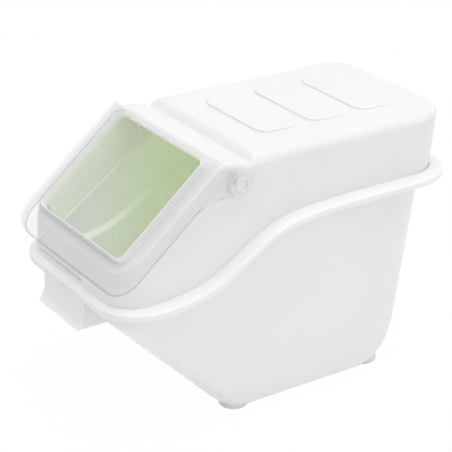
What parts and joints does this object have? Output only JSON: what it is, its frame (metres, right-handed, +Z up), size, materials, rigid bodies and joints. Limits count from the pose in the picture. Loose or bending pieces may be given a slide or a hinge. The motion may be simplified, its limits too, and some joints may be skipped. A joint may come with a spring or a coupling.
{
  "type": "rice bin",
  "caption": "Tapered rice bin with a lift-off hood, a slanted mouth and a clear flip lid that swings on side pivots.",
  "frame": {"origin": "on the floor under the middle of the overall box", "axes": "+Z up, -Y towards the slanted mouth and the front grip, +X to the right of someone facing the front"},
  "size_m": [0.225, 0.429, 0.2937],
  "materials": {
    "tub_plastic": "semi-gloss",
    "hood_plastic": "semi-gloss",
    "clear_plastic": "clear gloss",
    "pin_plastic": "semi-gloss",
    "foot_rubber": "matt"
  },
  "bodies": {
    "tub": {"tub": "tub_plastic", "foot_front_left": "foot_rubber", "foot_front_right": "foot_rubber", "foot_rear_left": "foot_rubber", "foot_rear_right": "foot_rubber"},
    "hood": {"hood": "hood_plastic", "pivot_pin_left": "pin_plastic", "pivot_pin_right": "pin_plastic", "pin_cap_left": "pin_plastic", "pin_cap_right": "pin_plastic"},
    "lid": {"flip_lid": "clear_plastic"}
  },
  "joints": [
    {"name": "hood_lift", "type": "slide", "parent": "tub", "child": "hood", "axis": [0, 0, 1], "range_m": [0, 0.15]},
    {"name": "lid_hinge", "type": "hinge", "parent": "hood", "child": "lid", "pos_m": [0, -0.0638, 0.2682], "axis": [-1, 0, 0], "range_deg": [0, 85]}
  ]
}
